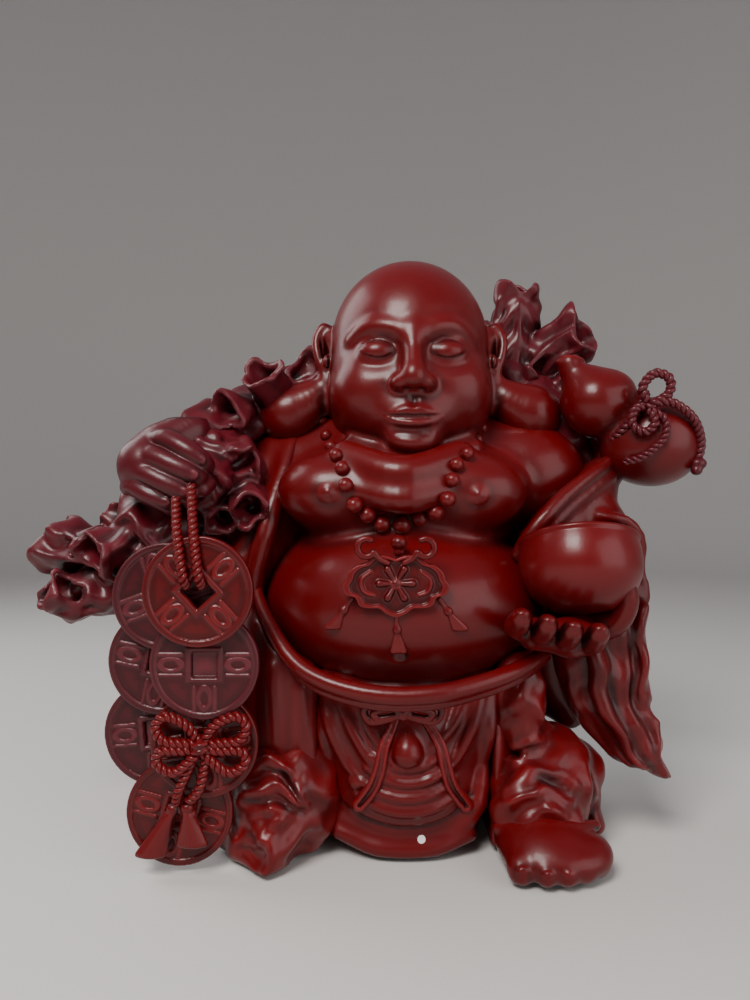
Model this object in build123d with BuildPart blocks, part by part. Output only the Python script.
"""Seated pot-bellied monk figurine, cast in dark red resin as separate pieces that are glued together.

Millimetres, +Z up, origin at the middle of the box's bottom. The figure faces -Y, so its right hand is at -X.
Pieces are made from the inside out. Each one is cut back to the faces of those already placed, as a glued
casting is, so that neighbours meet face to face.
"""

from build123d import *
import os
from math import acos, cos, degrees, radians, sin

os.makedirs("parts", exist_ok=True)

# ---------------------------------------------------------------- driving dimensions
pad_thickness = 1.5
ground = pad_thickness  # every casting stands this far above the surface, on the felt pads
wall = 8.0  # thickness of the hollow castings

body_x, body_y = 17.0, -6.0  # the vertical axis of the seated body
seat_radius = 42.0
waist_z = 60.0
waist_radius = 46.5
belly_radius = 59.0
belly_z = 96.0
chest_radius = 49.0
chest_z = 145.0
neck_top_z = 176.0

head_x, head_y = 20.0, -11.0
cranium_radius = 34.0
jaw_radius = 36.5
head_bottom_z, head_top_z = 157.5, 250.0
ear_z = 205.0
lobe_offset = 53.0  # from the head's axis to each long ear lobe

coin_radius = 21.0
coin_thickness = 4.5
coin_front_y = -70.0
coin_hole = 9.0
rope_radius = 1.9

bowl_radius = 24.5
bowl_height = 37.0
bowl_wall = 3.0
bowl_lean = 14.0  # degrees, the rim leaning back to the figure

bead_radius = 2.6
bead_count = 19



def section_plane(x, y, turn):
    """An upright plane through (x, y) to draw half sections on, its horizontal direction turned from +X."""
    away = (cos(radians(turn)), sin(radians(turn)), 0)
    return Plane(origin=(x, y, 0), x_dir=away, z_dir=(away[1], -away[0], 0))


seam_turn = 77.0  # the revolved faces' seams are at the back, clear of the other pieces' edges
body_plane = section_plane(body_x, body_y, seam_turn)
body_axis = Axis((body_x, body_y, 0), (0, 0, 1))

placed = {}  # name: finished piece
cutters = {}  # name: the solid that later pieces are cut back to


def boxes_meet(one, other):
    """True if the two shapes' boxes share some space."""
    a, b = one.bounding_box(), other.bounding_box()
    low, high = tuple(a.min), tuple(a.max)
    other_low, other_high = tuple(b.min), tuple(b.max)
    return all(low[i] < other_high[i] and other_low[i] < high[i] for i in range(3))


def cut_back(solid, name):
    """The solid without what it shares with its neighbours, as a list of solids."""
    remaining = [solid]
    for neighbour_name, neighbour in cutters.items():
        still = []
        for piece in remaining:
            shared = piece.intersect(neighbour) if boxes_meet(piece, neighbour) else None
            shared_volume = sum(s.volume for s in shared.solids()) if shared else 0.0
            if shared_volume < 0.001:
                still.append(piece)
                continue
            left = (piece - neighbour).solids()
            lost = piece.volume - shared_volume - sum(s.volume for s in left)
            if abs(lost) > 0.005 * piece.volume + 0.05:
                raise ValueError(f"{name} is not cut cleanly by {neighbour_name}: {lost:.2f} mm3 astray")
            still.extend(left)
        remaining = still
    return remaining


def place(name, made, crumb=2.0):
    """Cuts a piece back to the faces of its neighbours, drops crumbs and writes it."""
    kept = [s for whole in made.part.solids() for s in cut_back(whole, name) if s.volume > crumb]
    shape = Compound(kept) if len(kept) > 1 else Part() + kept[0]
    shape.label = name
    placed[name] = shape
    cutters[name] = shape
    export_step(shape, f"parts/{name}.step")


def front_of(name, x, z):
    """The y of a placed piece's front surface at x and z."""
    hits = placed[name].find_intersection_points(Axis((x, -200, z), (0, 1, 0)))
    return min(point.Y for point, _ in hits)


def links(points, radii, turn):
    """Balls at the points and cones between them, just inside the balls, as a finger has."""
    seam = Rot(35 + turn, 20, turn)
    found = [Pos(*p) * seam * Sphere(r, mode=Mode.PRIVATE) for p, r in zip(points, radii)]
    for start, end, r0, r1 in zip(points, points[1:], radii, radii[1:]):
        along = Vector(*end) - Vector(*start)
        middle = Plane(origin=Vector(*start) + along * 0.5, z_dir=along)
        if abs(r0 - r1) < 1e-6:
            found.append(middle * Cylinder(0.98 * r0, along.length, mode=Mode.PRIVATE))
        else:
            found.append(middle * Cone(0.98 * r0, 0.98 * r1, along.length, mode=Mode.PRIVATE))
    return found


def spans_all(whole, members):
    """True if the fused shape is sound and reaches as far as its members do."""
    box = whole.bounding_box()
    reach = Compound(children=[Part() + m for m in members]).bounding_box()
    near = all(abs(a - b) < 0.05 for a, b in zip((*box.min, *box.max), (*reach.min, *reach.max)))
    return near and whole.is_valid and whole.volume > 0.99 * max(m.volume for m in members)


def limbs(*chains):
    """One part from chains of (points, radii), with the balls' seams turned until it fuses soundly."""
    for turn in (0, 13, 29, 47, 71):
        members = [m for points, radii in chains for m in links(points, radii, turn)]
        whole = members[0].fuse(*members[1:])
        whole = Part() + (whole.solids() if hasattr(whole, "solids") else whole)
        if spans_all(whole, members):
            return whole
    raise ValueError(f"no sound union for the limbs from {chains[0][0][0]}")


# ---------------------------------------------------------------- hollow body: seat, plug and torso
def body_core(extra=0.0):
    """The seated body without arms and legs, solid and grown outward by extra."""
    with BuildPart() as core:
        with Locations((body_x, body_y, belly_z)):
            Sphere(belly_radius + extra, rotation=(0, 0, seam_turn))
        with Locations((body_x, body_y, chest_z)):
            Sphere(chest_radius + extra, rotation=(0, 0, seam_turn))
        with Locations((body_x, body_y, neck_top_z + 40)):
            Cylinder(100, 80, mode=Mode.SUBTRACT)
        with Locations((body_x, body_y, waist_z - 50)):
            Cylinder(100, 100, mode=Mode.SUBTRACT)
        with Locations((body_x, body_y, ground)):
            Cone(
                seat_radius + extra,
                waist_radius + extra,
                waist_z - ground,
                rotation=(0, 0, seam_turn),
                align=(Align.CENTER, Align.CENTER, Align.MIN),
            )
    return core.part


with BuildPart() as seat:
    with Locations((body_x, body_y, ground)):
        Cone(
            seat_radius,
            waist_radius,
            waist_z - ground,
            rotation=(0, 0, seam_turn),
            align=(Align.CENTER, Align.CENTER, Align.MIN),
        )
        Cylinder(
            seat_radius - wall,
            waist_z - ground,
            align=(Align.CENTER, Align.CENTER, Align.MIN),
            mode=Mode.SUBTRACT,
        )
place("seat", seat)

plug_thickness = 4.0
with BuildPart() as base_plug:
    with Locations((body_x, body_y, ground)):
        Cylinder(seat_radius - wall, plug_thickness, align=(Align.CENTER, Align.CENTER, Align.MIN))
place("base_plug", base_plug)

with BuildPart() as head:
    with Locations((head_x, head_y, head_top_z - cranium_radius)):
        Sphere(cranium_radius, rotation=(0, 0, seam_turn))
    with Locations((head_x, head_y, head_bottom_z + jaw_radius)):
        Sphere(jaw_radius, rotation=(0, 0, seam_turn))
    for side in (-1, 1):
        ear_x = head_x + side * jaw_radius
        with Locations(Plane(origin=(ear_x, head_y + 4, ear_z), x_dir=(0, 1, 0), z_dir=(1, 0, 0))):
            Cylinder(10, 7)
        lobe = [
            (ear_x, head_y + 3, ear_z - 7),
            (head_x + side * (lobe_offset - 6), head_y + 1.5, 183),
            (head_x + side * (lobe_offset + 4), head_y + 2.5, 181),
        ]
        add(limbs((lobe, [5.0, 12.5, 10.5])))
place("head", head)

with BuildPart() as torso:
    add(body_core())
    with Locations((body_x, body_y, waist_z - 50)):
        Cylinder(100, 100, mode=Mode.SUBTRACT)
    with Locations((body_x, body_y, belly_z - 3)):
        Sphere(belly_radius - wall - 1, rotation=(0, 0, seam_turn), mode=Mode.SUBTRACT)
place("torso", torso)

for covered in ("seat", "base_plug", "torso"):
    del cutters[covered]
cutters["body_core"] = body_core()

# ---------------------------------------------------------------- legs and feet
with BuildPart() as right_leg:
    add(limbs(([(-34, -22, 24), (-24, -30, 30)], [22.0, 17.0])))
    with Locations((-30, -25, ground - 50)):
        Box(200, 200, 100, mode=Mode.SUBTRACT)
place("right_leg", right_leg)

with BuildPart() as right_foot:
    with BuildSketch(Plane.XY.offset(ground)):
        with BuildLine():
            Polyline((-57, -34), (-52, -48), (-36, -63), (-21, -47), (-17, -32), (-26, -20), (-48, -20), close=True)
        make_face()
    extrude(amount=25, taper=14)
    fillet(right_foot.edges().group_by(Axis.Z)[-1], 2)
place("right_foot", right_foot)

with BuildPart() as left_leg:
    add(limbs(([(70, -22, 24), (78, -30, 28)], [25.0, 20.0])))
    with Locations((70, -25, ground - 50)):
        Box(200, 200, 100, mode=Mode.SUBTRACT)
place("left_leg", left_leg)

with BuildPart() as left_foot:
    with BuildSketch(Plane.XY.offset(ground)):
        with BuildLine():
            Polyline((52, -34), (49.5, -58), (55, -68), (66, -74), (79, -75), (89, -69), (95, -58), (92, -34), close=True)
        make_face()
    extrude(amount=17, taper=10)
    fillet(left_foot.edges().group_by(Axis.Z)[-1], 2)
place("left_foot", left_foot)

# ---------------------------------------------------------------- arms, hands and bowl
with BuildPart() as right_arm:
    add(limbs(([(-26, -4, 152), (-52, -12, 146), (-80, -28, 150)], [23.0, 17.0, 11.0])))
place("right_arm", right_arm)

with BuildPart() as left_arm:
    add(limbs(([(70, -4, 154), (106, -4, 118), (92, -20, 90)], [23.0, 15.5, 10.5])))
place("left_arm", left_arm)

bowl_base = Plane(origin=(87.2, -50, 98.5)).rotated((-bowl_lean, 0, 0))
bowl_belly = 22.0  # height of the bowl's widest place
with BuildPart() as alms_bowl:
    with BuildSketch(Plane(origin=bowl_base.origin, x_dir=bowl_base.x_dir, z_dir=-bowl_base.y_dir)):
        with BuildLine():
            foot_radius = (bowl_radius**2 - bowl_belly**2) ** 0.5
            inner_radius = bowl_radius - bowl_wall
            inner_belly = inner_radius + bowl_wall + 0.5
            outer = CenterArc((0, bowl_belly), bowl_radius, 0, -degrees(acos(foot_radius / bowl_radius)))
            inner = CenterArc((0, inner_belly), inner_radius, 0, -90)
            rim = Polyline(
                outer @ 0,
                (bowl_radius - 1.2, bowl_height),
                (bowl_radius - 1.2 - bowl_wall, bowl_height),
                inner @ 0,
            )
            Polyline(outer @ 1, (0, 0), inner @ 1)
        make_face()
    revolve(axis=Axis(bowl_base.origin, bowl_base.z_dir))
place("alms_bowl", alms_bowl)

left_fingers = [([(88, -26, 89), (80, -44, 90)], [11.0, 10.5])]
for finger in range(4):
    knuckle_x = 64 + 9.6 * finger
    tip_z = 102 - 2.2 * finger
    points = [(76 + 2.5 * finger, -52, 90), (knuckle_x, -64, 92), (knuckle_x - 1, -68, tip_z)]
    left_fingers.append((points, [5.2, 4.8, 4.2]))
with BuildPart() as left_hand:
    add(limbs(*left_fingers))
place("left_hand", left_hand, crumb=20)

right_fingers = [([(-88, -38, 154), (-74, -40, 160)], [12.0, 11.0])]
for finger in range(4):
    drop = 7.2 * finger
    points = [
        (-82 - 2.4 * finger, -46, 166 - drop),
        (-70 - 1.6 * finger, -54, 163 - drop),
        (-62, -52, 160 - drop),
    ]
    right_fingers.append((points, [5.4, 4.9, 4.2]))
with BuildPart() as right_hand:
    add(limbs(*right_fingers))
place("right_hand", right_hand)

# ---------------------------------------------------------------- robe
robe_thickness = 4.0


def robe_panel(z_low, z_high, thickness, start_angle, end_angle):
    """A panel of cloth on the body between two heights and two directions, in degrees from +X."""
    reach = 2 * belly_radius
    steps = 6
    turns = [radians(start_angle + (end_angle - start_angle) * i / steps) for i in range(steps + 1)]
    rim = [(body_x + reach * cos(turn), body_y + reach * sin(turn)) for turn in turns]
    with BuildPart() as panel:
        with BuildSketch(Plane.XY.offset(z_low)):
            with BuildLine():
                Polyline((body_x, body_y), *rim, close=True)
            make_face()
        extrude(amount=z_high - z_low)
        add(body_core(thickness), mode=Mode.INTERSECT)
        add(body_core(), mode=Mode.SUBTRACT)
    return panel


place("robe_back", robe_panel(12, 150, robe_thickness, -20, 175))
place("right_robe_panel", robe_panel(33, 152, 5.5, 184, 236))
place("skirt_front", robe_panel(6, 66, 4.5, 236, 306))
place("left_robe_panel", robe_panel(30, 72, 7.0, 306, 340))

with BuildPart() as waistband:
    band_plane = Plane(origin=(body_x, body_y, 91)).rotated((20, 7, 0))
    with Locations(band_plane):
        Torus(58.5, 4.2)
    with Locations((body_x, body_y + 92, 91)):
        Box(200, 200, 200, mode=Mode.SUBTRACT)
place("waistband", waistband)

sleeve_thickness = 18.0
with BuildPart() as left_sleeve:
    with BuildSketch(Plane(origin=(0, -40, 0), x_dir=(1, 0, 0), z_dir=(0, -1, 0)).offset(-sleeve_thickness)):
        with BuildLine():
            Polyline((84, 104), (120, 108), (121, 80), (117, 60), (124, 33), (119, 32), (103, 48), (83, 66), close=True)
        make_face()
    extrude(amount=sleeve_thickness)
    fillet(left_sleeve.edges().filter_by(Plane.XZ), 3)
place("left_sleeve", left_sleeve)

with BuildPart() as left_robe_edge:
    add(limbs(([(96, -14, 157), (85, -22, 147), (75, -29, 138), (67, -35, 129)], [8.0, 8.0, 8.0, 7.0])))
place("left_robe_edge", left_robe_edge)

# ---------------------------------------------------------------- waist bow and ribbons
with BuildPart() as waist_bow:
    knot = (15.5, -60, 64.5)
    with Locations(knot):
        Sphere(4.2)
    for side in (-1, 1):
        with Locations(Plane(origin=(15.5 + side * 9.5, -57.5, 63.5), z_dir=(side * 0.25, -1, 0))):
            Torus(5.4, 1.9)
place("waist_bow", waist_bow)

with BuildPart() as waist_ribbons:
    add(limbs(([(12.5, -59, 61), (6.5, -57, 49), (5, -55.5, 37), (-3, -52, 25)], [2.2, 2.5, 2.5, 2.8])))
    add(limbs(([(18.5, -59, 61), (27, -57, 48), (30, -55, 34), (39, -50.5, 23)], [2.2, 2.5, 2.5, 2.8])))
place("waist_ribbons", waist_ribbons)

# ---------------------------------------------------------------- sack over the shoulders
with BuildPart() as sack_body:
    with Locations((body_x + 1.5, 38.5, 138)):
        Sphere(36.5, rotation=(20, 10, 30))
    with Locations((body_x + 1.5, 43, 183)):
        Cone(24, 13, 32, rotation=(0, 0, 40))
place("sack_body", sack_body)

roll_points = [
    (-74, -16, 168),
    (-66, -4, 184),
    (-42, 10, 197),
    (-14, 30, 204),
    (20, 40, 203),
    (50, 26, 201),
    (64, 10, 197),
]
with BuildPart() as sack_roll:
    add(limbs((roll_points, [10.0, 11.5, 13.0, 12.0, 11.5, 11.0, 10.0])))
place("sack_roll", sack_roll)

tail_tips = [((-132, -20, 125), 13.0), ((-108, -34, 126), 11.0), ((-126, -18, 102), 10.0)]
with BuildPart() as sack_tail:
    add(limbs(*[([(-84, -26, 132), tip], [9.0, radius]) for tip, radius in tail_tips]))
place("sack_tail", sack_tail)

mouth_tips = [((70, 8, 240), 9.5), ((100, 8, 222), 12.0), ((54, 18, 226), 7.0)]
with BuildPart() as sack_mouth:
    add(limbs(*[([(64, 8, 203), tip], [8.0, radius]) for tip, radius in mouth_tips]))
place("sack_mouth", sack_mouth)

with BuildPart() as sack_folds:
    add(limbs(([(-60, -24, 164), (-52, -30, 148)], [9.0, 8.0]), ([(-66, -30, 148), (-48, -38, 140)], [7.0, 6.5])))
place("sack_folds", sack_folds)

# ---------------------------------------------------------------- gourd and its cord
gourd_upper, gourd_lower = Vector(100, -20, 188), Vector(125.5, -20, 170)
gourd_lower_radius = 19.5
with BuildPart() as gourd:
    neck = ([tuple(gourd_upper), tuple(gourd_lower)], [15.0, 9.0])
    stem = ([tuple(gourd_upper), (88, -20, 201)], [9.0, 5.0])
    add(limbs(neck, stem, ([tuple(gourd_lower)], [gourd_lower_radius])))
place("gourd", gourd)

with BuildPart() as gourd_cord:
    waist = gourd_upper + (gourd_lower - gourd_upper) * 0.42
    with Locations(Plane(origin=waist, z_dir=gourd_lower - gourd_upper)):
        Torus(13.0, 2.2)
    for x, z in ((119, 187), (113, 172)):
        with Locations(Plane(origin=(x, -37, z), z_dir=(0, -1, 0))):
            Torus(4.2, 2.0)
    add(limbs(([(116, -38, 180), (130, -40, 178), (139, -36, 166), (138, -31, 154)], [2.0, 2.0, 2.0, 3.0])))
place("gourd_cord", gourd_cord)

# ---------------------------------------------------------------- coins on their cord
coin_places = {  # name: (x, z, how many coins lie in front of it, turn in degrees)
    "coin_top": (-61.0, 110.5, 0, 42),
    "coin_middle": (-59.5, 82.5, 1, 0),
    "coin_bow": (-60.5, 51.5, 2, 8),
    "coin_back_top": (-75.0, 107.5, 2, 20),
    "coin_back_middle": (-78.0, 82.0, 3, -12),
    "coin_back_low": (-81.0, 53.0, 4, 5),
    "coin_bottom": (-71.0, 23.5, 3, -15),
}


def coin_y(layer):
    """The y of a coin's front face, by the number of coins in front of it."""
    return coin_front_y + coin_thickness * layer


def make_coin(x, z, layer, turn):
    """A coin with a raised rim, a framed square hole and a raised bar in each quarter."""
    face = Plane(origin=(x, coin_y(layer), z), x_dir=(1, 0, 0), z_dir=(0, -1, 0)).offset(-coin_thickness)
    relief = 0.8
    body_height = coin_thickness - relief
    with BuildPart() as coin:
        with BuildSketch(face):
            Circle(coin_radius)
            Rectangle(coin_hole, coin_hole, rotation=turn, mode=Mode.SUBTRACT)
        extrude(amount=body_height)
        with BuildSketch(face.offset(body_height)):
            Circle(coin_radius)
            Circle(coin_radius - 2.2, mode=Mode.SUBTRACT)
            Rectangle(coin_hole + 3, coin_hole + 3, rotation=turn)
            Rectangle(coin_hole, coin_hole, rotation=turn, mode=Mode.SUBTRACT)
            for quarter in range(4):
                with PolarLocations(0, 1, turn + 90 * quarter):
                    with Locations((13, -2.4), (13, 2.4)):
                        Rectangle(5.5, 2.2)
        extrude(amount=relief)
    return coin


for coin_name, (coin_x, coin_z, layer, turn) in coin_places.items():
    place(coin_name, make_coin(coin_x, coin_z, layer, turn))

with BuildPart() as coin_cord:
    top_x, top_z = coin_places["coin_top"][:2]
    cord_y = coin_front_y - rope_radius - 0.6
    for start_x, start_z, end_x in ((-67.5, 146, -63.4), (-59.5, 151, -58.8)):
        points = [
            (start_x, -56, start_z),
            (start_x, cord_y, start_z - 8),
            (end_x, cord_y, top_z + 1),
            (end_x, coin_front_y + 6, top_z),
        ]
        add(limbs((points, [rope_radius] * 4)))
place("coin_cord", coin_cord)

bow_x, bow_z = coin_places["coin_bow"][:2]
bow_y = coin_y(2) - 1.6
with BuildPart() as cord_bow:
    with Locations((bow_x, bow_y - 1, bow_z + 1)):
        Sphere(3.0)
    for side in (-1, 1):
        for height, reach in ((5.5, 9.5), (-4.5, 9.0)):
            with Locations(Plane(origin=(bow_x + side * reach, bow_y, bow_z + height), z_dir=(0, -1, 0))):
                Torus(4.6, rope_radius)
place("cord_bow", cord_bow)

tassel_y = bow_y - 1
right_tassel = [(bow_x - 2.5, tassel_y, bow_z - 4), (bow_x - 4, tassel_y, 26), (-80, -58.5, 6.5)]
left_tassel = [(bow_x + 2.5, tassel_y, bow_z - 4), (bow_x + 3, tassel_y, 26), (-58, -59.5, 9)]
with BuildPart() as coin_tassels:
    add(limbs((right_tassel, [1.9, 1.9, 4.6])))
    add(limbs((left_tassel, [1.9, 2.4, 4.6])))
place("coin_tassels", coin_tassels)

# ---------------------------------------------------------------- plaque on the belly
plaque_x, plaque_z = 12.5, 114.0
plaque_face_y = -69.0
plaque_half_width, plaque_drop, plaque_rise = 20.0, 12.5, 11.0


def plaque_outline(inset=0.0):
    """The lobed cloud shape, shrunk by the inset."""
    half, drop, rise = plaque_half_width - inset, plaque_drop - inset, plaque_rise - inset
    with BuildSketch() as cloud:
        with BuildLine():
            top = ThreePointArc((0, rise * 0.9), (half * 0.36, rise), (half * 0.68, rise * 0.75))
            side = ThreePointArc(top @ 1, (half, rise * 0.15), (half * 0.85, -drop * 0.45))
            corner = ThreePointArc(side @ 1, (half * 0.68, -drop * 0.78), (half * 0.42, -drop * 0.7))
            point = Polyline(corner @ 1, (half * 0.2, -drop * 0.88), (0, -drop))
            for edge in (top, side, corner, point):
                mirror(edge, about=Plane.YZ)
        make_face()
    return cloud.sketch


with BuildPart() as plaque:
    plaque_plane = Plane(origin=(plaque_x, plaque_face_y, plaque_z), x_dir=(1, 0, 0), z_dir=(0, -1, 0))
    with BuildSketch(plaque_plane.offset(-9)):
        add(plaque_outline())
    extrude(amount=9)
    with BuildSketch(plaque_plane):
        add(plaque_outline())
        add(plaque_outline(inset=1.8), mode=Mode.SUBTRACT)
        with PolarLocations(4.2, 4):
            Ellipse(3.4, 1.7)
        Circle(1.5)
    extrude(amount=1.0)
place("plaque", plaque)

with BuildPart() as plaque_scrolls:
    for side in (-1, 1):
        with Locations(Plane(origin=(plaque_x + side * 9.5, plaque_face_y + 0.6, plaque_z + 13.0), z_dir=(0, -1, 0))):
            Torus(3.0, 1.3)
place("plaque_scrolls", plaque_scrolls)

with BuildPart() as plaque_tassels:
    for top, bottom in (((-4, 107), (-10, 97)), ((12.5, 101), (13.5, 86)), ((29, 107), (36, 97))):
        ends = [(x, front_of("torso", x, z) - 0.8, z) for x, z in (top, bottom)]
        add(limbs((ends, [1.4, 2.8])))
place("plaque_tassels", plaque_tassels)

# ---------------------------------------------------------------- necklace
necklace_top_z, necklace_half_width, necklace_drop = 170.0, 31.5, 37.5
with BuildPart() as necklace_beads:
    for i in range(bead_count):
        angle = radians(-84 + 168 * i / (bead_count - 1))
        bead_x = body_x + necklace_half_width * sin(angle)
        bead_z = necklace_top_z - necklace_drop * cos(angle)
        with Locations((bead_x, front_of("torso", bead_x, bead_z) - 0.6, bead_z)):
            Sphere(bead_radius, rotation=(35, 20, 0))
place("necklace_beads", necklace_beads)

with BuildPart() as pendant_bead:
    with Locations((plaque_x + 1, front_of("torso", plaque_x + 1, 127.5) - 1.5, 127.5)):
        Sphere(3.0)
place("pendant_bead", pendant_bead)

# ---------------------------------------------------------------- felt pads
pad_radius = 7.0
with BuildPart() as felt_pads:
    with Locations((-36, -44, 0), (70, -56, 0), (-6, 21.6, 0), (40, 21.6, 0)):
        Cylinder(pad_radius, pad_thickness, align=(Align.CENTER, Align.CENTER, Align.MIN))
place("felt_pads", felt_pads)

whole = Compound(list(placed.values())).bounding_box()
print("low", tuple(round(v, 2) for v in whole.min), "high", tuple(round(v, 2) for v in whole.max))
